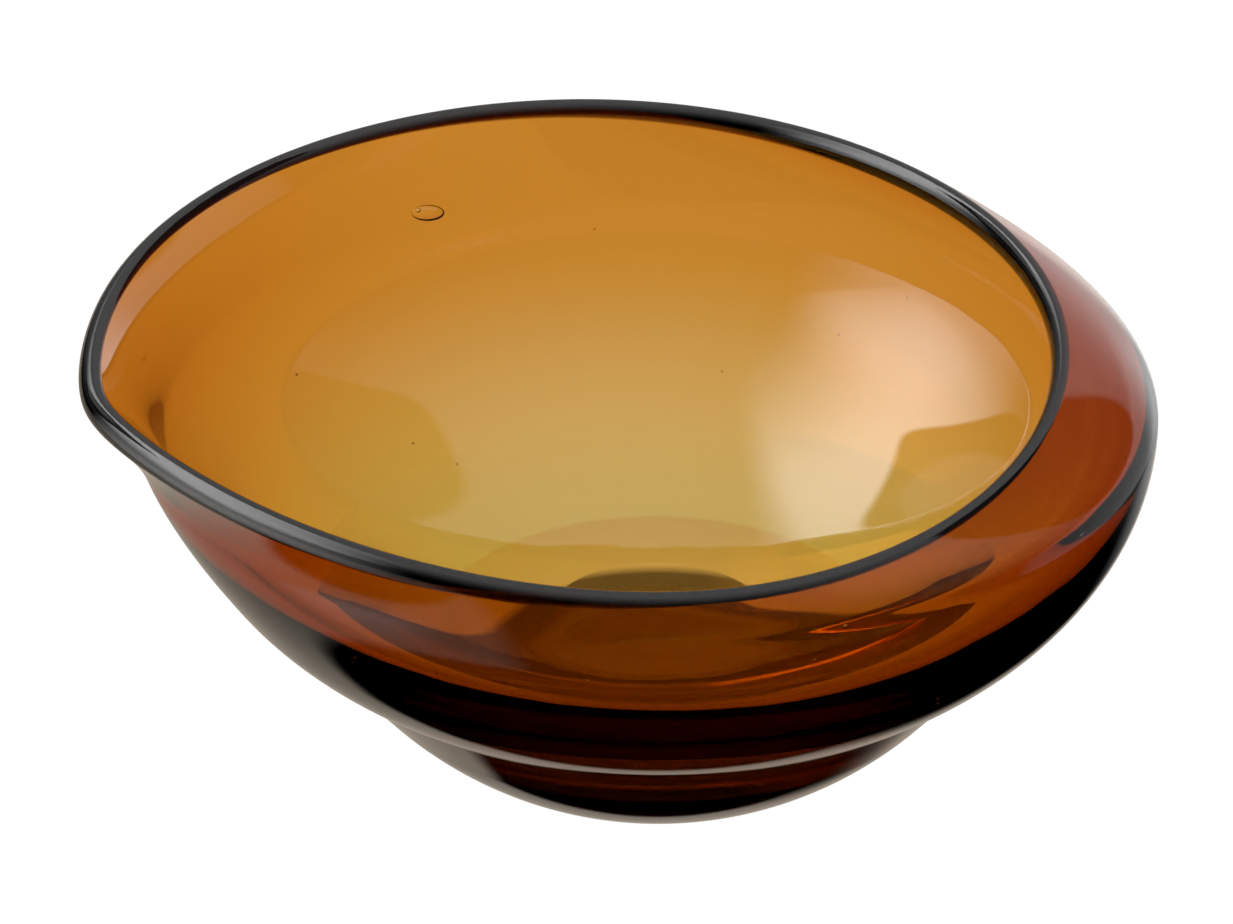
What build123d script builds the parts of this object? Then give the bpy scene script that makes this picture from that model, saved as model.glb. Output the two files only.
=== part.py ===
from build123d import *
import os
from math import acos, asin, atan, atan2, cos, degrees, exp, pi, sin, sqrt

# Free-blown amber glass bowl, millimetres, +Z up.
# The origin is the centre of the ground standing face. The pinched lip points to -X.

# Driving dimensions -------------------------------------------------------------------------

# Belly: the widest ring of the body, a circle about the Z axis.
BELLY_RADIUS = 138.6
BELLY_HEIGHT = 112.6

# Depth of each nested form below the belly, down to the bottom of its ellipse.
OUTER_DEPTH = 88.6
CASED_DEPTH = 87.0
INNER_DEPTH = 70.6

# The wall, and the casing's share of it at the rim. The lining has the rest.
WALL_THICKNESS = 7.4
CASING_THICKNESS = 3.8

# Heights of the flats: casing on heel, lining on casing, and the inside floor.
HEEL_TOP = 34.0
CASING_FLOOR = 36.0
INSIDE_FLOOR = 44.0

# Rim seen from above: a circle moved towards the lip, a little oval and lobed.
RIM_RADIUS = 132.1
RIM_SHIFT_X = -15.0
RIM_SHIFT_Y = -0.6
RIM_OVAL = -3.0
RIM_LOBE = -1.0

# Rim seen from the side: higher at the back, a little saddled.
RIM_HEIGHT = 134.7
RIM_TILT_X = -1.6
RIM_TILT_Y = 8.0
RIM_SADDLE = 1.4
RIM_SADDLE_DIAGONAL = -0.8
RIM_WAVE = -0.8

# Lip: the pinched corner of the rim, and the height where its flare begins.
LIP_REACH = 16.7
LIP_ANGLE = 1.108 * pi
LIP_WIDTH = 0.5
LIP_ROUNDING = 0.08
FLARE_START = 78.5
FLARE_POWER = 1.6

# Curl of the wall above the belly: a higher power gives a fuller shoulder.
CURL_POWER = 2.1
CURL_POWER_BACK = 0.3

# Foot: a rounded cup on a ground flat, which meets the body in a shallow crease.
CUP_RADIUS = 112.0
CUP_EDGE = 86.0
STANDING_RADIUS = 35.0
NECK_RADIUS = 100.0

# Pontil: the ground scar in the middle of the standing face.
PONTIL_RADIUS = 15.0
PONTIL_DEPTH = 3.0

# Construction: points round each ring, rings up each skin, rings over the rim's edge.
RING_POINTS = 56
LIP_CROWDING = 0.72
SKIN_RINGS = 14
BEAD_RINGS = 7


# The shape of the wall ----------------------------------------------------------------------

def rim_radius(angle):
    shift = RIM_SHIFT_X * cos(angle) + RIM_SHIFT_Y * sin(angle)
    return RIM_RADIUS + shift + RIM_OVAL * cos(2 * angle) + RIM_LOBE * cos(3 * angle)


def rim_height(angle):
    tilt = RIM_TILT_X * cos(angle) + RIM_TILT_Y * sin(angle)
    saddle = RIM_SADDLE * cos(2 * angle) + RIM_SADDLE_DIAGONAL * sin(2 * angle)
    return RIM_HEIGHT + tilt + saddle + RIM_WAVE * sin(3 * angle)


def lip_reach(angle):
    """How far the lip stands out at the rim."""
    away = atan2(sin(angle - LIP_ANGLE), cos(angle - LIP_ANGLE))
    rounded = sqrt(away**2 + LIP_ROUNDING**2) - LIP_ROUNDING
    return LIP_REACH * exp(-rounded / LIP_WIDTH)


def curl_power(angle):
    return CURL_POWER + CURL_POWER_BACK * sin(angle)


def rim_lean(angle):
    """How far the wall leans in from the vertical at the rim, in radians."""
    height = rim_height(angle)
    curl = curl_power(angle) * (BELLY_RADIUS - rim_radius(angle)) / (height - BELLY_HEIGHT)
    flare = FLARE_POWER * lip_reach(angle) / (height - FLARE_START)
    return atan(curl - flare)


def around(angle, radius, height):
    return Vector(radius * cos(angle), radius * sin(angle), height)


def skin_point(angle, level, inset, depth, floor):
    """A point on one skin of the wall: level 0 is at its floor, level 1 at the rim."""
    belly = BELLY_RADIUS - inset
    top_radius = rim_radius(angle) - inset * cos(rim_lean(angle))
    top_height = rim_height(angle) - inset * sin(rim_lean(angle))
    height = floor + (top_height - floor) * level
    if height < BELLY_HEIGHT:
        radius = belly * sqrt(1 - ((BELLY_HEIGHT - height) / depth) ** 2)
    else:
        climb = (height - BELLY_HEIGHT) / (top_height - BELLY_HEIGHT)
        radius = belly + (top_radius - belly) * climb ** curl_power(angle)
    flare = max(0, (height - FLARE_START) / (top_height - FLARE_START)) ** FLARE_POWER
    return around(angle, radius + lip_reach(angle) * flare, height)


def bead_point(angle, turn):
    """A point on the rim's half-round edge: turn 0 is outside, turn pi is inside."""
    half = WALL_THICKNESS / 2
    lean = rim_lean(angle)
    out = half * (cos(turn) - 1)
    up = half * sin(turn)
    radius = rim_radius(angle) + lip_reach(angle) + out * cos(lean) - up * sin(lean)
    return around(angle, radius, rim_height(angle) + out * sin(lean) + up * cos(lean))


# Rings and skins ----------------------------------------------------------------------------

def ring(point_at):
    """A smooth closed wire, with its points closer together at the lip."""
    steps = [2 * pi * i / RING_POINTS - pi for i in range(RING_POINTS)]
    angles = [LIP_ANGLE + step - LIP_CROWDING * sin(step) for step in steps]
    with BuildLine() as line:
        Spline([point_at(angle) for angle in angles], periodic=True)
    return line.wire()


def skin_rings(inset, depth, floor):
    """The rings of one skin, closer together at its floor and at the rim."""
    levels = [(1 - cos(pi * i / (SKIN_RINGS - 1))) / 2 for i in range(SKIN_RINGS)]
    return [ring(lambda angle: skin_point(angle, level, inset, depth, floor)) for level in levels]


def bead_rings():
    """The rings over the rim's edge, without the two that the skins already have."""
    turns = [pi * i / (BEAD_RINGS - 1) for i in range(1, BEAD_RINGS - 1)]
    return [ring(lambda angle: bead_point(angle, turn)) for turn in turns]


def enclosed(*pieces):
    """The solid inside a closed set of faces and shells."""
    return Solid(Shell([face for piece in pieces for face in piece.faces()]))


outer_rings = skin_rings(0, OUTER_DEPTH, HEEL_TOP)
cased_rings = skin_rings(CASING_THICKNESS, CASED_DEPTH, CASING_FLOOR)
inner_rings = skin_rings(WALL_THICKNESS, INNER_DEPTH, INSIDE_FLOOR)

outer_skin = Shell.make_loft(outer_rings)
cased_skin = Shell.make_loft(cased_rings)
inner_skin = Shell.make_loft(inner_rings)
bead_skin = Shell.make_loft([outer_rings[-1], *bead_rings(), inner_rings[-1]])

heel_flat = Face(outer_rings[0])
cased_flat = Face(cased_rings[0])
inside_flat = Face(inner_rings[0])
casing_edge = Shell.make_loft([outer_rings[-1], cased_rings[-1]], ruled=True)
lining_edge = Shell.make_loft([cased_rings[-1], inner_rings[-1]], ruled=True)


# Outer casing: the coloured outer layer of the wall and its thick floor ---------------------

with BuildPart() as outer_casing:
    add(enclosed(heel_flat, outer_skin, casing_edge, cased_skin, cased_flat))
outer_casing.part.label = "outer_casing"


# Inner lining: the first gather, which the casing was laid over -----------------------------

with BuildPart() as inner_lining:
    add(enclosed(cased_flat, cased_skin, lining_edge, inner_skin, inside_flat))
inner_lining.part.label = "inner_lining"


# Rim bead: the fire-polished half-round edge over both layers -------------------------------

with BuildPart() as rim_bead:
    add(enclosed(casing_edge, bead_skin, lining_edge))
rim_bead.part.label = "rim_bead"


# Heel: the thick glass under the casing, sunk in the top of the foot ------------------------

def body_underside(dip):
    """The body's outside from its lowest point up to an angle below its widest ring."""
    centre = (0, BELLY_HEIGHT)
    sweep_up = 90 - degrees(dip)
    return EllipticalCenterArc(centre, BELLY_RADIUS, OUTER_DEPTH, start_angle=-90, arc_size=sweep_up)


heel_dip = asin((BELLY_HEIGHT - HEEL_TOP) / OUTER_DEPTH)
heel_radius = BELLY_RADIUS * cos(heel_dip)
heel_bottom = BELLY_HEIGHT - OUTER_DEPTH

with BuildPart() as heel:
    with BuildSketch(Plane.XZ):
        with BuildLine():
            body_underside(heel_dip)
            Line((heel_radius, HEEL_TOP), (0, HEEL_TOP))
            Line((0, HEEL_TOP), (0, heel_bottom))
        make_face()
    revolve(axis=Axis.Z)
heel.part.label = "heel"


# Foot: a rounded cup of glass, hollowed on top to take the body -----------------------------

cup_centre = sqrt(CUP_RADIUS**2 - STANDING_RADIUS**2)
cup_edge_height = cup_centre - sqrt(CUP_RADIUS**2 - CUP_EDGE**2)
neck_dip = acos(NECK_RADIUS / BELLY_RADIUS)
neck_height = BELLY_HEIGHT - OUTER_DEPTH * sin(neck_dip)

with BuildPart() as foot:
    with BuildSketch(Plane.XZ):
        with BuildLine():
            Line((0, 0), (STANDING_RADIUS, 0))
            cup = RadiusArc((STANDING_RADIUS, 0), (CUP_EDGE, cup_edge_height), -CUP_RADIUS)
            TangentArc(cup @ 1, (NECK_RADIUS, neck_height), tangent=cup % 1)
            body_underside(neck_dip)
            Line((0, heel_bottom), (0, 0))
        make_face()
    revolve(axis=Axis.Z)
    with BuildSketch():
        Circle(PONTIL_RADIUS)
    extrude(amount=PONTIL_DEPTH, mode=Mode.SUBTRACT)
foot.part.label = "foot"


# Pontil disc: the glass left by the punty, ground flush with the standing face --------------

with BuildPart() as pontil_disc:
    with BuildSketch():
        Circle(PONTIL_RADIUS)
    extrude(amount=PONTIL_DEPTH)
pontil_disc.part.label = "pontil_disc"


# Files --------------------------------------------------------------------------------------

os.makedirs("parts", exist_ok=True)
for piece in (outer_casing, inner_lining, rim_bead, heel, foot, pontil_disc):
    print(piece.part.label, piece.part.is_valid, piece.part.volume)
    export_step(piece.part, f"parts/{piece.part.label}.step")
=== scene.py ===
from math import acos, asin, atan2, cos, pi, radians, sin, sqrt, tan

import bpy
import numpy as np
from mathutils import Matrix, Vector


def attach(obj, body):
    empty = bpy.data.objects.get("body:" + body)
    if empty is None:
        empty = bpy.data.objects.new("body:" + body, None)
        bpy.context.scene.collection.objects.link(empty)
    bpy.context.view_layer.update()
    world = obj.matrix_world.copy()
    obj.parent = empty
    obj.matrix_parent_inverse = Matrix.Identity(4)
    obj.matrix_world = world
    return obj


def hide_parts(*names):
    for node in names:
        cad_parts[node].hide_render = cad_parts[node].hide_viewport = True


# Free-blown amber glass bowl, in metres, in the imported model's frame: +Z up, the origin at the
# centre of the ground standing face, the pinched lip towards -X.

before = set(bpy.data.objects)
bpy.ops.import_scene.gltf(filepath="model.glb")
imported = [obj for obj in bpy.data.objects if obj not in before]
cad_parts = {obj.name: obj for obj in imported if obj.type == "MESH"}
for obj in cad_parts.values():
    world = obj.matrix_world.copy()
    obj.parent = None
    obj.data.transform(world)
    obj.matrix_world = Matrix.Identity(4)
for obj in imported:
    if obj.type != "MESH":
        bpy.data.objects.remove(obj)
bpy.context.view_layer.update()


# Driving dimensions, as in the CAD model ----------------------------------------------------

MM = 0.001

BELLY_RADIUS = 138.6 * MM
BELLY_HEIGHT = 112.6 * MM
OUTER_DEPTH = 88.6 * MM
CASED_DEPTH = 87 * MM
INNER_DEPTH = 70.6 * MM
WALL_THICKNESS = 7.4 * MM
CASING_THICKNESS = 3.8 * MM
HEEL_TOP = 34 * MM
CASING_FLOOR = 36 * MM
INSIDE_FLOOR = 44 * MM

RIM_RADIUS = 132.1 * MM
RIM_SHIFT_X = -15.0 * MM
RIM_SHIFT_Y = -0.6 * MM
RIM_OVAL = -3.0 * MM
RIM_LOBE = -1.0 * MM
RIM_HEIGHT = 134.7 * MM
RIM_TILT_X = -1.6 * MM
RIM_TILT_Y = 8.0 * MM
RIM_SADDLE = 1.4 * MM
RIM_SADDLE_DIAGONAL = -0.8 * MM
RIM_WAVE = -0.8 * MM

LIP_REACH = 16.7 * MM
LIP_ANGLE = 1.108 * pi
LIP_WIDTH = 0.5
LIP_ROUNDING = 0.08
FLARE_START = 78.5 * MM
FLARE_POWER = 1.6
CURL_POWER = 2.1
CURL_POWER_BACK = 0.3

CUP_RADIUS = 112 * MM
CUP_EDGE = 86 * MM
STANDING_RADIUS = 35 * MM
NECK_RADIUS = 100 * MM
PONTIL_RADIUS = 15 * MM
PONTIL_DEPTH = 3 * MM

# Fused glass: neighbouring pieces stand this far back from the face that they share.
HAIR = 0.008 * MM


# Places round the bowl, closer together at the lip ------------------------------------------

RING_POINTS = 300
LIP_CROWDING = 0.6
STEPS = 2 * pi * np.arange(RING_POINTS) / RING_POINTS - pi
ANGLES = LIP_ANGLE + STEPS - LIP_CROWDING * np.sin(STEPS)


def rim_radius(angle):
    shift = RIM_SHIFT_X * np.cos(angle) + RIM_SHIFT_Y * np.sin(angle)
    return RIM_RADIUS + shift + RIM_OVAL * np.cos(2 * angle) + RIM_LOBE * np.cos(3 * angle)


def rim_height(angle):
    tilt = RIM_TILT_X * np.cos(angle) + RIM_TILT_Y * np.sin(angle)
    saddle = RIM_SADDLE * np.cos(2 * angle) + RIM_SADDLE_DIAGONAL * np.sin(2 * angle)
    return RIM_HEIGHT + tilt + saddle + RIM_WAVE * np.sin(3 * angle)


def lip_reach(angle):
    """How far the lip stands out at the rim."""
    away = np.arctan2(np.sin(angle - LIP_ANGLE), np.cos(angle - LIP_ANGLE))
    rounded = np.sqrt(away**2 + LIP_ROUNDING**2) - LIP_ROUNDING
    return LIP_REACH * np.exp(-rounded / LIP_WIDTH)


def curl_power(angle):
    return CURL_POWER + CURL_POWER_BACK * np.sin(angle)


def rim_lean(angle):
    """How far the wall leans in from the vertical at the rim."""
    height = rim_height(angle)
    curl = curl_power(angle) * (BELLY_RADIUS - rim_radius(angle)) / (height - BELLY_HEIGHT)
    flare = FLARE_POWER * lip_reach(angle) / (height - FLARE_START)
    return np.arctan(curl - flare)


def around(angle, radius, height):
    angle, radius, height = np.broadcast_arrays(angle, radius, height)
    return np.stack([radius * np.cos(angle), radius * np.sin(angle), height], axis=-1)


def skin(inset, depth, floor):
    """One skin of the wall, as a function of the angle and of the share of the way to the rim."""

    def point(angle, share):
        belly = BELLY_RADIUS - inset
        lean = rim_lean(angle)
        top_radius = rim_radius(angle) - inset * np.cos(lean)
        top_height = rim_height(angle) - inset * np.sin(lean)
        height = floor + (top_height - floor) * share
        below = np.minimum((BELLY_HEIGHT - height) / depth, 1)
        bowl = belly * np.sqrt(1 - np.maximum(below, 0) ** 2)
        climb = np.maximum((height - BELLY_HEIGHT) / (top_height - BELLY_HEIGHT), 0)
        shoulder = (top_radius - belly) * climb ** curl_power(angle)
        flare = np.maximum((height - FLARE_START) / (top_height - FLARE_START), 0)
        radius = bowl + shoulder + lip_reach(angle) * flare**FLARE_POWER
        return around(angle, radius, height)

    return point


outer_skin = skin(0, OUTER_DEPTH, HEEL_TOP)
cased_skin = skin(CASING_THICKNESS, CASED_DEPTH, CASING_FLOOR)
inner_skin = skin(WALL_THICKNESS, INNER_DEPTH, INSIDE_FLOOR)


def bead(angle, turn):
    """The rim's rounded edge: turn 0 is at the outside of the wall, turn pi at the inside."""
    step = 1e-4
    outside = outer_skin(angle, 1)
    inside = inner_skin(angle, 1)
    climb = (outside - outer_skin(angle, 1 - step)) + (inside - inner_skin(angle, 1 - step))
    climb = climb / np.linalg.norm(climb, axis=-1, keepdims=True)
    half = (outside - inside) / 2
    size = np.linalg.norm(half, axis=-1, keepdims=True)
    turn = np.asarray(turn)[..., None]
    return (outside + inside) / 2 + half * np.cos(turn) + climb * size * np.sin(turn)


def between(first, second):
    """The ruled face between the rims of two skins."""

    def point(angle, share):
        start = first(angle, 1)
        return start + (second(angle, 1) - start) * np.asarray(share)[..., None]

    return point


def turned(profile):
    """The surface of revolution of a profile, which gives a radius and a height for each share."""
    return lambda angle, share: around(angle, *profile(np.asarray(share, float)))


def line(start, end):
    start, end = np.array(start), np.array(end)

    def profile(share):
        return start[0] + (end[0] - start[0]) * share, start[1] + (end[1] - start[1]) * share

    return turned(profile)


def arc(centre, radius, start, end):
    """The surface of revolution of an arc between two angles, counted from the outward direction."""

    def profile(share):
        angle = start + (end - start) * share
        return centre[0] + radius * np.cos(angle), centre[1] + radius * np.sin(angle)

    return turned(profile)


def flat(radius, height):
    """A disc on the axis, from its centre outwards."""
    return line((0, height), (radius, height))


def underside(dip_from, dip_to):
    """The body's round underside between two angles below its widest ring."""

    def profile(share):
        dip = dip_from + (dip_to - dip_from) * share
        return BELLY_RADIUS * np.cos(dip), BELLY_HEIGHT - OUTER_DEPTH * np.sin(dip)

    return turned(profile)


# Closed meshes from bands of rings ----------------------------------------------------------

NUDGE = 1e-5


class Band:
    """A stretch of a piece's surface, as rings of points with their normals.
    A fused band is a face inside the glass, shared with the next piece."""

    def __init__(self, surface, shares, fused=False):
        shares = np.asarray(shares, float)[:, None]
        angles = ANGLES[None, :]
        self.fused = fused
        self.points = surface(angles, shares)
        across = surface(angles + NUDGE, shares) - surface(angles - NUDGE, shares)
        along = surface(angles, shares + NUDGE) - surface(angles, shares - NUDGE)
        normals = np.cross(across, along)
        self.normals = normals / np.maximum(np.linalg.norm(normals, axis=-1, keepdims=True), 1e-30)
        for row in (0, -1):
            if is_pole(self.points[row]):
                self.normals[row] = self.normals[1 if row == 0 else -2]

    def backwards(self):
        self.points = self.points[::-1]
        self.normals = -self.normals[::-1]
        return self

    def twice_flux(self):
        """Positive where the band's normals point out of the piece."""
        a, c = self.points[:-1], self.points[1:]
        b, d = np.roll(a, -1, axis=1), np.roll(c, -1, axis=1)
        return (a * np.cross(b, c)).sum() + (b * np.cross(d, c)).sum()


def even(count):
    return np.linspace(0, 1, count + 1)


def eased(count):
    """Shares closer together at both ends."""
    return (1 - np.cos(pi * even(count))) / 2


def is_pole(ring):
    return np.linalg.norm(ring[:, :2], axis=1).max() < 1e-7


def set_back(bands, loop):
    """Moves the fused faces a hair back into their piece, but not where they meet a face that shows."""
    for band in bands:
        if band.fused:
            band.points[1:-1] -= HAIR * band.normals[1:-1]
    if not loop:
        for band, row in ((bands[0], 0), (bands[-1], -1)):
            if band.fused:
                band.points[row] -= HAIR * band.normals[row]
    for band, after in zip(bands, bands[1:] + bands[:1] if loop else bands[1:]):
        if band.fused and after.fused:
            corner = band.points[-1] - HAIR * (band.normals[-1] + after.normals[0])
            band.points[-1] = corner
            after.points[0] = corner


def closed_mesh(name, bands, loop=False, bubbles=()):
    """A closed mesh from bands that run on from each other, from axis to axis or round in a loop."""
    inside_out = sum(band.twice_flux() for band in bands) < 0
    if inside_out:
        for band in bands:
            band.normals = -band.normals
    set_back(bands, loop)

    points, faces, normals, fused = [], [], [], []

    def corners_of(ring):
        """Adds a ring's points and gives their numbers, which are all the same at a pole."""
        start = len(points)
        if is_pole(ring):
            points.append(ring[0])
            return [start] * RING_POINTS
        points.extend(ring)
        return list(range(start, start + RING_POINTS))

    first = below = corners_of(bands[0].points[0])
    for band in bands:
        for row in range(1, len(band.points)):
            last = loop and band is bands[-1] and row == len(band.points) - 1
            above = first if last else corners_of(band.points[row])
            for i in range(RING_POINTS):
                j = (i + 1) % RING_POINTS
                around_face = {
                    below[i]: band.normals[row - 1, i],
                    below[j]: band.normals[row - 1, j],
                    above[j]: band.normals[row, j],
                    above[i]: band.normals[row, i],
                }
                face = list(around_face)
                faces.append(face[::-1] if inside_out else face)
                normals.extend(around_face[corner] for corner in faces[-1])
                fused.append(float(band.fused))
            below = above

    for bubble in bubbles:
        start = len(points)
        bubble_points, bubble_normals, bubble_faces = bubble
        points.extend(bubble_points)
        for face in bubble_faces:
            faces.append([start + corner for corner in face])
            normals.extend(bubble_normals[corner] for corner in face)
            fused.append(0.0)

    mesh = bpy.data.meshes.new(name + "_glass")
    mesh.from_pydata([tuple(point) for point in points], [], faces)
    mesh.polygons.foreach_set("use_smooth", [True] * len(faces))
    inside = mesh.attributes.new("inside_glass", "FLOAT", "FACE")
    inside.data.foreach_set("value", fused)
    mesh.normals_split_custom_set([tuple(normal) for normal in normals])
    mesh.update()
    piece = bpy.data.objects.new(name + "_glass", mesh)
    bpy.context.scene.collection.objects.link(piece)
    return piece


# Bubbles ------------------------------------------------------------------------------------

def bubble(centre, axes, columns=24, rows=14):
    """A hollow in the glass: an egg shape whose faces look at its own middle."""
    polar = (pi * np.arange(1, rows) / rows)[:, None]
    turn = (2 * pi * np.arange(columns) / columns)[None, :]
    units = around(turn, np.sin(polar), np.cos(polar))
    units = np.concatenate([[(0, 0, 1)], units.reshape(-1, 3), [(0, 0, -1)]])
    axes = np.array(axes)
    points = np.array(centre) + units @ axes
    normals = -units @ (axes / (axes**2).sum(axis=1, keepdims=True))
    normals /= np.linalg.norm(normals, axis=1, keepdims=True)

    def corner(row, column):
        if row == 0:
            return 0
        if row == rows:
            return len(points) - 1
        return 1 + (row - 1) * columns + column % columns

    faces = []
    for row in range(rows):
        for column in range(columns):
            face = [corner(row, column), corner(row, column + 1)]
            face += [corner(row + 1, column + 1), corner(row + 1, column)]
            faces.append(list(dict.fromkeys(face)))
    return points, normals, faces


def bubble_in_wall(around_degrees, height, depth, length, width, thickness, slant=0):
    """A bubble in the wall, so deep under the inner skin. Its length runs round the bowl."""
    angle = radians(around_degrees)
    low = inner_skin(angle, 0)[2]
    high = inner_skin(angle, 1)[2]
    share = (height * MM - low) / (high - low)
    spot = inner_skin(angle, share)
    round_bowl = inner_skin(angle + NUDGE, share) - inner_skin(angle - NUDGE, share)
    up_wall = inner_skin(angle, share + NUDGE) - inner_skin(angle, share - NUDGE)
    round_bowl /= np.linalg.norm(round_bowl)
    up_wall /= np.linalg.norm(up_wall)
    into_wall = np.cross(round_bowl, up_wall)
    slant = radians(slant)
    along = round_bowl * cos(slant) + up_wall * sin(slant)
    across = up_wall * cos(slant) - round_bowl * sin(slant)
    axes = [along * length / 2, across * width / 2, into_wall * thickness / 2]
    return bubble(spot + into_wall * depth * MM, np.array(axes) * MM)


# Glass --------------------------------------------------------------------------------------

GLASS_IOR = 1.5
HAND_WAVE = 0.2 * MM
RIM_SURFACE_WAVE = 0.1 * MM
WAVE_SCALE = 14
WAVE_SQUEEZE = 2.2

# The ground part of the foot: its uneven upper edge, and how matt and scratched it is.
GROUND_TOP = 4 * MM
EDGE_WANDER = 3 * MM
EDGE_SCALE = 45
EDGE_SOFTNESS = 0.1 * MM
GRAIN_SCALE = 1400
SCRATCH_SCALE = 190
GROUND_ROUGHNESS = 0.42
GROUND_CLOUDINESS = 0.35
SCRATCH_ROUGHNESS = 0.16
SCRATCH_DEPTH = 0.12 * MM


def math_node(tree, operation, first, second=None):
    node = tree.nodes.new("ShaderNodeMath")
    node.operation = operation
    for socket, value in zip(node.inputs, (first, second)):
        if isinstance(value, (int, float)):
            socket.default_value = value
        elif value is not None:
            tree.links.new(value, socket)
    return node.outputs[0]


def smooth_step(tree, value, start, end, low=0.0, high=1.0):
    node = tree.nodes.new("ShaderNodeMapRange")
    node.interpolation_type = "SMOOTHSTEP"
    for name, number in (("From Min", start), ("From Max", end), ("To Min", low), ("To Max", high)):
        node.inputs[name].default_value = number
    tree.links.new(value, node.inputs["Value"])
    return node.outputs[0]


def noise(tree, place, scale, detail, distortion=0.0):
    node = tree.nodes.new("ShaderNodeTexNoise")
    node.inputs["Scale"].default_value = scale
    node.inputs["Detail"].default_value = detail
    node.inputs["Distortion"].default_value = distortion
    tree.links.new(place, node.inputs["Vector"])
    return node.outputs["Fac"]


def glass(name, taken_per_mm, wave=0.0):
    """Glass that takes off so much red, green and blue light with depth. Its fused faces don't show.
    The wave is the height of the slow unevenness that hand blowing leaves in its surface."""
    material = bpy.data.materials.new(name)
    material.use_nodes = True
    tree = material.node_tree
    shader = tree.nodes["Principled BSDF"]
    shader.inputs["Base Color"].default_value = (1, 1, 1, 1)
    shader.inputs["IOR"].default_value = GLASS_IOR
    shader.inputs["Transmission Weight"].default_value = 1
    shader.inputs["Roughness"].default_value = 0

    inside = tree.nodes.new("ShaderNodeAttribute")
    inside.attribute_name = "inside_glass"
    tree.links.new(math_node(tree, "SUBTRACT", 1, inside.outputs["Fac"]), shader.inputs["Alpha"])

    absorption = tree.nodes.new("ShaderNodeVolumeAbsorption")
    strongest = max(taken_per_mm) / MM
    absorption.inputs["Density"].default_value = strongest
    spared = [1 - taken / MM / strongest for taken in taken_per_mm]
    absorption.inputs["Color"].default_value = (*spared, 1)
    tree.links.new(absorption.outputs[0], tree.nodes["Material Output"].inputs["Volume"])

    if wave:
        place = tree.nodes.new("ShaderNodeTexCoord").outputs["Object"]
        squeeze = tree.nodes.new("ShaderNodeMapping")
        squeeze.inputs["Scale"].default_value = (1, 1, WAVE_SQUEEZE)
        tree.links.new(place, squeeze.inputs["Vector"])
        uneven = noise(tree, squeeze.outputs["Vector"], WAVE_SCALE, detail=1.5, distortion=0.6)
        bump = tree.nodes.new("ShaderNodeBump")
        bump.inputs["Strength"].default_value = 1
        bump.inputs["Distance"].default_value = wave
        tree.links.new(uneven, bump.inputs["Height"])
        tree.links.new(bump.outputs["Normal"], shader.inputs["Normal"])
    return material


def grind(material, top):
    """Grinds the glass matt below a height: an uneven edge, grain, and the scratches of the wheel."""
    tree = material.node_tree
    shader = tree.nodes["Principled BSDF"]
    place = tree.nodes.new("ShaderNodeTexCoord").outputs["Object"]
    axes = tree.nodes.new("ShaderNodeSeparateXYZ")
    tree.links.new(place, axes.inputs[0])

    wander = math_node(tree, "SUBTRACT", noise(tree, place, EDGE_SCALE, detail=3), 0.5)
    shift = math_node(tree, "MULTIPLY", wander, EDGE_WANDER)
    height = math_node(tree, "ADD", axes.outputs["Z"], shift)
    ground = smooth_step(tree, height, top + EDGE_SOFTNESS, top - EDGE_SOFTNESS)

    scratches = tree.nodes.new("ShaderNodeTexWave")
    scratches.wave_type = "RINGS"
    scratches.rings_direction = "Z"
    scratches.inputs["Scale"].default_value = SCRATCH_SCALE
    scratches.inputs["Distortion"].default_value = 9
    scratches.inputs["Detail"].default_value = 4
    tree.links.new(place, scratches.inputs["Vector"])
    grain = noise(tree, place, GRAIN_SCALE, detail=3)
    uneven = math_node(tree, "ADD", grain, math_node(tree, "MULTIPLY", scratches.outputs["Fac"], 0.6))
    bump = tree.nodes.new("ShaderNodeBump")
    bump.inputs["Distance"].default_value = SCRATCH_DEPTH
    tree.links.new(ground, bump.inputs["Strength"])
    tree.links.new(uneven, bump.inputs["Height"])
    if shader.inputs["Normal"].is_linked:
        tree.links.new(shader.inputs["Normal"].links[0].from_socket, bump.inputs["Normal"])
    tree.links.new(bump.outputs["Normal"], shader.inputs["Normal"])

    rough = math_node(tree, "MULTIPLY", scratches.outputs["Fac"], SCRATCH_ROUGHNESS)
    matt = math_node(tree, "ADD", GROUND_ROUGHNESS, rough)
    tree.links.new(math_node(tree, "MULTIPLY", ground, matt), shader.inputs["Roughness"])
    clear = math_node(tree, "SUBTRACT", 1, math_node(tree, "MULTIPLY", ground, GROUND_CLOUDINESS))
    tree.links.new(clear, shader.inputs["Transmission Weight"])


# Light taken by each millimetre of depth: red, green, blue.
casing_glass = glass("casing_glass", (0.127, 0.368, 0.90), wave=HAND_WAVE)
lining_glass = glass("lining_glass", (0.020, 0.016, 0.056), wave=HAND_WAVE)
# Painted shade: the rim glass takes far more light than the casing's, standing in for the dark that the
# rounded rim shows by bending in light from the dark room above.
rim_glass = glass("rim_glass", (0.9, 1.2, 1.7), wave=RIM_SURFACE_WAVE)
heel_glass = glass("heel_glass", (0.0028, 0.0030, 0.0036))
foot_glass = glass("foot_glass", (0.0028, 0.0030, 0.0036), wave=HAND_WAVE)
ground_glass = glass("ground_glass", (0.0028, 0.0030, 0.0036))
grind(foot_glass, GROUND_TOP)
grind(ground_glass, GROUND_TOP)


# The pieces ---------------------------------------------------------------------------------

SKIN_ROWS = 90
FLAT_ROWS = 10
neck_dip = acos(NECK_RADIUS / BELLY_RADIUS)
neck_height = BELLY_HEIGHT - OUTER_DEPTH * sin(neck_dip)
heel_dip = asin((BELLY_HEIGHT - HEEL_TOP) / OUTER_DEPTH)
heel_radius = BELLY_RADIUS * cos(heel_dip)


def floor_radius(depth, floor, inset):
    return (BELLY_RADIUS - inset) * sqrt(1 - ((BELLY_HEIGHT - floor) / depth) ** 2)


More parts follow.
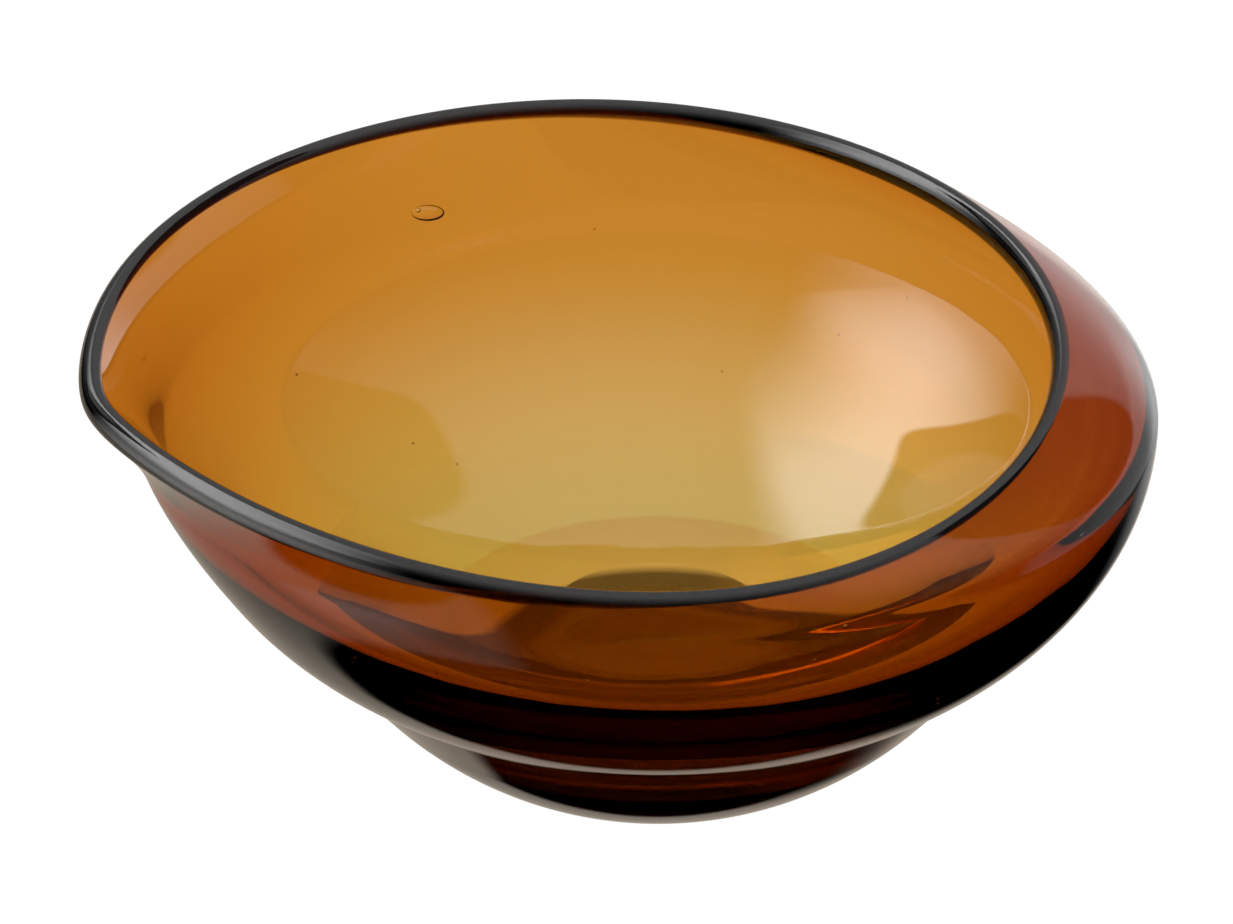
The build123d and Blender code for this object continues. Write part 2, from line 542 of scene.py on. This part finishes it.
cased_floor_radius = floor_radius(CASED_DEPTH, CASING_FLOOR, CASING_THICKNESS)
inside_floor_radius = floor_radius(INNER_DEPTH, INSIDE_FLOOR, WALL_THICKNESS)

# The blister and the seeds: degrees round, height, depth, length, width, thickness, slant.
LINING_BUBBLES = (
    (120.6, 116.6, 1.8, 11.4, 5.2, 1.6, 14),
    (137.1, 65.1, 1.5, 0.9, 0.8, 0.7, 0),
    (132.3, 59.5, 1.8, 0.7, 0.7, 0.6, 0),
    (62.4, 81.4, 1.5, 1.0, 0.8, 0.6, 0),
    (54.0, 94.2, 1.4, 0.7, 0.6, 0.6, 0),
    (79.0, 70.1, 1.9, 0.8, 0.7, 0.6, 0),
    (148.0, 88.0, 1.5, 1.0, 0.7, 0.6, 20),
    (98.0, 104.0, 1.6, 0.8, 0.6, 0.6, 0),
    (21.0, 84.0, 1.6, 0.9, 0.8, 0.6, 0),
    (-52.0, 77.0, 1.7, 1.0, 0.8, 0.7, 0),
    (-128.0, 92.0, 1.6, 0.8, 0.7, 0.6, 0),
)
CASING_BUBBLES = (
    (121.6, 117.4, 5.4, 2.2, 2.0, 1.2, 0),
    (-70.0, 113.5, 5.4, 1.8, 1.2, 1.0, 15),
    (-73.3, 107.0, 5.4, 1.1, 1.0, 0.8, 0),
    (-98.0, 104.0, 5.4, 1.2, 0.8, 0.8, -20),
    (12.0, 101.0, 5.4, 0.9, 0.7, 0.7, 0),
    (-160.0, 103.0, 5.4, 1.1, 0.8, 0.8, 0),
)

outer_casing = closed_mesh(
    "outer_casing",
    [
        Band(flat(heel_radius, HEEL_TOP), even(FLAT_ROWS), fused=True),
        Band(underside(heel_dip, neck_dip), even(16), fused=True),
        Band(skin(0, OUTER_DEPTH, neck_height), eased(SKIN_ROWS)),
        Band(between(outer_skin, cased_skin), even(4), fused=True),
        Band(cased_skin, eased(SKIN_ROWS), fused=True).backwards(),
        Band(flat(cased_floor_radius, CASING_FLOOR), even(FLAT_ROWS), fused=True).backwards(),
    ],
    bubbles=[bubble_in_wall(*place) for place in CASING_BUBBLES],
)
inner_lining = closed_mesh(
    "inner_lining",
    [
        Band(flat(cased_floor_radius, CASING_FLOOR), even(FLAT_ROWS), fused=True),
        Band(cased_skin, eased(SKIN_ROWS), fused=True),
        Band(between(cased_skin, inner_skin), even(4), fused=True),
        Band(inner_skin, eased(SKIN_ROWS)).backwards(),
        Band(flat(inside_floor_radius, INSIDE_FLOOR), even(FLAT_ROWS)).backwards(),
    ],
    bubbles=[bubble_in_wall(*place) for place in LINING_BUBBLES],
)
rim_bead = closed_mesh(
    "rim_bead",
    [
        Band(lambda angle, share: bead(angle, share * pi), eased(24)),
        Band(between(inner_skin, cased_skin), even(4), fused=True),
        Band(between(cased_skin, outer_skin), even(4), fused=True),
    ],
    loop=True,
)
heel = closed_mesh(
    "heel",
    [
        Band(underside(pi / 2, heel_dip), even(20), fused=True),
        Band(flat(heel_radius, HEEL_TOP), even(FLAT_ROWS), fused=True).backwards(),
    ],
)

# The cup's own arc, then the neck's, which leaves it in line and ends at the crease.
cup_centre = sqrt(CUP_RADIUS**2 - STANDING_RADIUS**2)
cup_start = asin(-cup_centre / CUP_RADIUS)
cup_end = -acos(CUP_EDGE / CUP_RADIUS)
cup_edge = Vector((CUP_EDGE, cup_centre + CUP_RADIUS * sin(cup_end)))
crease = Vector((NECK_RADIUS, neck_height))
to_centre = -Vector((cos(cup_end), sin(cup_end)))
chord = crease - cup_edge
neck_centre = cup_edge + to_centre * chord.length_squared / (2 * chord.dot(to_centre))


def bearing(vector):
    return atan2(vector.y, vector.x)


neck = arc(
    neck_centre,
    (cup_edge - neck_centre).length,
    bearing(cup_edge - neck_centre),
    bearing(crease - neck_centre),
)
foot = closed_mesh(
    "foot",
    [
        Band(flat(PONTIL_RADIUS, PONTIL_DEPTH), even(4), fused=True),
        Band(line((PONTIL_RADIUS, PONTIL_DEPTH), (PONTIL_RADIUS, 0)), even(3), fused=True),
        Band(line((PONTIL_RADIUS, 0), (STANDING_RADIUS, 0)), even(6)),
        Band(arc((0, cup_centre), CUP_RADIUS, cup_start, cup_end), even(50)),
        Band(neck, even(10)),
        Band(underside(neck_dip, heel_dip), even(16), fused=True),
        Band(underside(heel_dip, pi / 2), even(20), fused=True),
    ],
)
pontil_disc = closed_mesh(
    "pontil_disc",
    [
        Band(flat(PONTIL_RADIUS, 0), even(4)),
        Band(line((PONTIL_RADIUS, 0), (PONTIL_RADIUS, PONTIL_DEPTH)), even(3), fused=True),
        Band(flat(PONTIL_RADIUS, PONTIL_DEPTH), even(4), fused=True).backwards(),
    ],
)

FINISHES = (
    ("outer_casing", outer_casing, casing_glass, "casing_glass"),
    ("inner_lining", inner_lining, lining_glass, "lining_glass"),
    ("rim_bead", rim_bead, rim_glass, "rim_glass"),
    ("heel", heel, heel_glass, "heel_glass"),
    ("foot", foot, foot_glass, "foot_glass"),
    ("pontil_disc", pontil_disc, ground_glass, "ground_glass"),
)
for node, piece, material, slot in FINISHES:
    piece.data.materials.append(material)
    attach(piece, "root")
    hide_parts(node)


# Floor, light and camera --------------------------------------------------------------------

# The glass is looked through against a white floor and a white backdrop up to BACKDROP_TOP
# degrees, with the lamps above it. What its gloss mirrors is a dark room with the same lamps,
# and the lit floor at its left.
FLOOR_SIZE = 8
FLOOR_DROP = 0.02 * MM
FLOOR_GREY = 0.02
FLOOR_GLOW = 1.0
BACKDROP_TOP = 20
BACKDROP_FADE = 12

# The bowl shades the floor under its foot, which shows only through the glass:
# millimetres from the axis, and the light left there.
FOOT_SHADE = ((39, 0.5), (45, 0.16), (57, 0.16), (62, 1))
SHADE_REACH = 100


def plane(name, size, height):
    half = size / 2
    mesh = bpy.data.meshes.new(name)
    corners = [(-half, -half, height), (half, -half, height), (half, half, height), (-half, half, height)]
    mesh.from_pydata(corners, [], [(0, 1, 2, 3)])
    sheet = bpy.data.objects.new(name, mesh)
    bpy.context.scene.collection.objects.link(sheet)
    return sheet


def grey_ramp(tree, value, stops):
    """A level that runs straight between its stops, each a place from 0 to 1 and a level."""
    node = tree.nodes.new("ShaderNodeValToRGB")
    tree.links.new(value, node.inputs["Fac"])
    elements = node.color_ramp.elements
    for element, (place, level) in zip(elements, (stops[0], stops[-1])):
        element.position = place
        element.color = (level, level, level, 1)
    for place, level in stops[1:-1]:
        elements.new(place).color = (level, level, level, 1)
    return node.outputs["Color"]


def floor_glow(tree):
    """The floor's own light: even for the camera, and shaded under the foot for other rays."""
    from_axis = tree.nodes.new("ShaderNodeVectorMath")
    from_axis.operation = "LENGTH"
    tree.links.new(tree.nodes.new("ShaderNodeTexCoord").outputs["Object"], from_axis.inputs[0])
    reach = math_node(tree, "DIVIDE", from_axis.outputs["Value"], SHADE_REACH * MM)
    stops = [(radius / SHADE_REACH, level) for radius, level in FOOT_SHADE]
    camera_ray = tree.nodes.new("ShaderNodeLightPath").outputs["Is Camera Ray"]
    lit = math_node(tree, "MAXIMUM", grey_ramp(tree, reach, stops), camera_ray)
    return math_node(tree, "MULTIPLY", lit, FLOOR_GLOW)


def gloss_or_plain(tree, plain, gloss):
    """A shader that shows as gloss to mirror reflections, and as plain to all other rays."""
    path = tree.nodes.new("ShaderNodeLightPath").outputs
    mirrored = math_node(tree, "MULTIPLY", path["Is Reflection Ray"], path["Is Glossy Ray"])
    mix = tree.nodes.new("ShaderNodeMixShader")
    tree.links.new(mirrored, mix.inputs["Fac"])
    tree.links.new(plain.outputs[0], mix.inputs[1])
    tree.links.new(gloss.outputs[0], mix.inputs[2])
    return mix


def far_point(azimuth, elevation):
    """A direction in degrees: azimuth 0 is behind the bowl, and 90 to its right."""
    turn = radians(azimuth)
    rise = radians(elevation)
    return Vector((sin(turn) * cos(rise), cos(turn) * cos(rise), sin(rise)))


def along(tree, looking, direction):
    node = tree.nodes.new("ShaderNodeVectorMath")
    node.operation = "DOT_PRODUCT"
    tree.links.new(looking, node.inputs[0])
    node.inputs[1].default_value = direction
    return node.outputs["Value"]


def glow(tree, looking, azimuth, elevation, tightness, strength):
    """Broad light from one side of the room."""
    facing = math_node(tree, "MAXIMUM", along(tree, looking, far_point(azimuth, elevation)), 0)
    return math_node(tree, "MULTIPLY", math_node(tree, "POWER", facing, tightness), strength)


def panel(tree, looking, azimuth, elevation, roll, width, height, softness, squareness, strength):
    """A far panel with rounded corners and soft edges. The angles across it are in degrees."""
    towards = far_point(azimuth, elevation)
    level = Vector((towards.y, -towards.x, 0)).normalized()
    upright = level.cross(towards)
    turn = radians(roll)
    right = level * cos(turn) + upright * sin(turn)
    up = upright * cos(turn) - level * sin(turn)
    depth = math_node(tree, "MAXIMUM", along(tree, looking, towards), 0.02)
    reach = None
    for axis, size in ((right, width), (up, height)):
        sight = math_node(tree, "DIVIDE", along(tree, looking, axis), depth)
        share = math_node(tree, "ABSOLUTE", math_node(tree, "DIVIDE", sight, tan(radians(size / 2))))
        part = math_node(tree, "POWER", share, squareness)
        reach = part if reach is None else math_node(tree, "ADD", reach, part)
    distance = math_node(tree, "POWER", reach, 1 / squareness)
    return smooth_step(tree, distance, 1 + softness, 1 - softness, 0, strength)


def lit_floor(tree, looking, azimuth, nearest, strength):
    """The lit floor on one side of the bowl, from the horizon down to an angle."""
    height = along(tree, looking, (0, 0, 1))
    this_side = smooth_step(tree, along(tree, looking, far_point(azimuth, 0)), 0.05, 0.2, 0, strength)
    beyond = smooth_step(tree, height, sin(radians(nearest - 2)), sin(radians(nearest + 2)))
    below = smooth_step(tree, height, 0, -0.1)
    return math_node(tree, "MULTIPLY", this_side, math_node(tree, "MULTIPLY", beyond, below))


def background(tree, colour, strength):
    node = tree.nodes.new("ShaderNodeBackground")
    node.inputs["Color"].default_value = colour
    tree.links.new(strength, node.inputs["Strength"])
    return node


floor = plane("floor", FLOOR_SIZE, -FLOOR_DROP)
paper = bpy.data.materials.new("floor_paper")
paper.use_nodes = True
tree = paper.node_tree
shader = tree.nodes["Principled BSDF"]
shader.inputs["Base Color"].default_value = (FLOOR_GREY, FLOOR_GREY, FLOOR_GREY, 1)
shader.inputs["Roughness"].default_value = 0.9
shader.inputs["Specular IOR Level"].default_value = 0
shader.inputs["Emission Color"].default_value = (1, 1, 1, 1)
tree.links.new(floor_glow(tree), shader.inputs["Emission Strength"])
paper_mix = gloss_or_plain(tree, shader, tree.nodes.new("ShaderNodeBsdfTransparent"))
tree.links.new(paper_mix.outputs[0], tree.nodes["Material Output"].inputs["Surface"])
floor.data.materials.append(paper)

scene = bpy.context.scene
scene.world = bpy.data.worlds.new("studio")
scene.world.use_nodes = True
tree = scene.world.node_tree
looking = tree.nodes.new("ShaderNodeTexCoord").outputs["Generated"]

# The lamps: a glow from above, a softbox cut off by the edge of a window, its low part and
# three dim stretches of wall. Two black screens stand in front of them, the left one with
# a pale inset. Each panel's azimuth, elevation, roll, width and height are in degrees.
light = glow(tree, looking, 22, 73, tightness=2.5, strength=1.15)
softbox = panel(tree, looking, -69, 52, 13, 75, 31, softness=1.2, squareness=4.4, strength=6.0)
window = panel(tree, looking, -63, 25, 44, 88, 136, softness=0.1, squareness=1.8, strength=1)
light = math_node(tree, "ADD", light, math_node(tree, "MULTIPLY", softbox, window))
for lamp in (
    panel(tree, looking, -103, 5, 0, 52, 80, softness=0.9, squareness=2.4, strength=2.4),
    panel(tree, looking, 60, -4, 0, 70, 36, softness=0.12, squareness=4, strength=0.34),
    panel(tree, looking, 30, 5, 0, 110, 60, softness=0.5, squareness=3, strength=0.2),
    panel(tree, looking, 24, -8, 0, 26, 40, softness=0.6, squareness=2.4, strength=0.8),
):
    light = math_node(tree, "ADD", light, lamp)
for screen in (
    panel(tree, looking, -44, 36, -17, 27, 28, softness=0.06, squareness=7, strength=0.95),
    panel(tree, looking, 53, 33, 6, 38, 46, softness=0.06, squareness=3, strength=0.9),
):
    light = math_node(tree, "MULTIPLY", light, math_node(tree, "SUBTRACT", 1, screen))
inset = panel(tree, looking, -38, 35, 17, 17, 21, softness=0.15, squareness=2.4, strength=0.5)
light = math_node(tree, "ADD", light, inset)

room = background(tree, (1, 1, 1, 1), light)
warm_floor = background(tree, (1, 0.86, 0.7, 1), lit_floor(tree, looking, -65, -53, strength=0.46))
gloss = tree.nodes.new("ShaderNodeAddShader")
tree.links.new(room.outputs[0], gloss.inputs[0])
tree.links.new(warm_floor.outputs[0], gloss.inputs[1])

edges = (sin(radians(BACKDROP_TOP + BACKDROP_FADE)), sin(radians(BACKDROP_TOP)))
low_down = smooth_step(tree, along(tree, looking, (0, 0, 1)), *edges)
camera_ray = tree.nodes.new("ShaderNodeLightPath").outputs["Is Camera Ray"]
white = math_node(tree, "MAXIMUM", camera_ray, low_down)
overhead = math_node(tree, "MULTIPLY", light, math_node(tree, "SUBTRACT", 1, white))
backdrop = background(tree, (1, 1, 1, 1), math_node(tree, "ADD", white, overhead))
studio = gloss_or_plain(tree, backdrop, gloss)
tree.links.new(studio.outputs[0], tree.nodes["World Output"].inputs["Surface"])

scene.view_settings.view_transform = "Standard"
scene.cycles.max_bounces = 32
scene.cycles.transmission_bounces = 32
scene.cycles.glossy_bounces = 16
scene.cycles.transparent_max_bounces = 64
scene.cycles.sample_clamp_indirect = 8

CAMERA_TARGET = Vector((-11.57, 32.48, 76.25)) * MM
CAMERA_ELEVATION = radians(28)
CAMERA_DISTANCE = 1.5
CAMERA_LENS = 152.6

camera = bpy.data.objects.new("camera", bpy.data.cameras.new("camera"))
scene.collection.objects.link(camera)
back = Vector((0, -cos(CAMERA_ELEVATION), sin(CAMERA_ELEVATION)))
camera.location = CAMERA_TARGET + back * CAMERA_DISTANCE
camera.rotation_mode = "QUATERNION"
camera.rotation_quaternion = (-back).to_track_quat("-Z", "Y")
camera.data.lens = CAMERA_LENS
camera.data.sensor_width = 36
camera.data.clip_start = 0.05
camera.data.clip_end = 50
scene.camera = camera
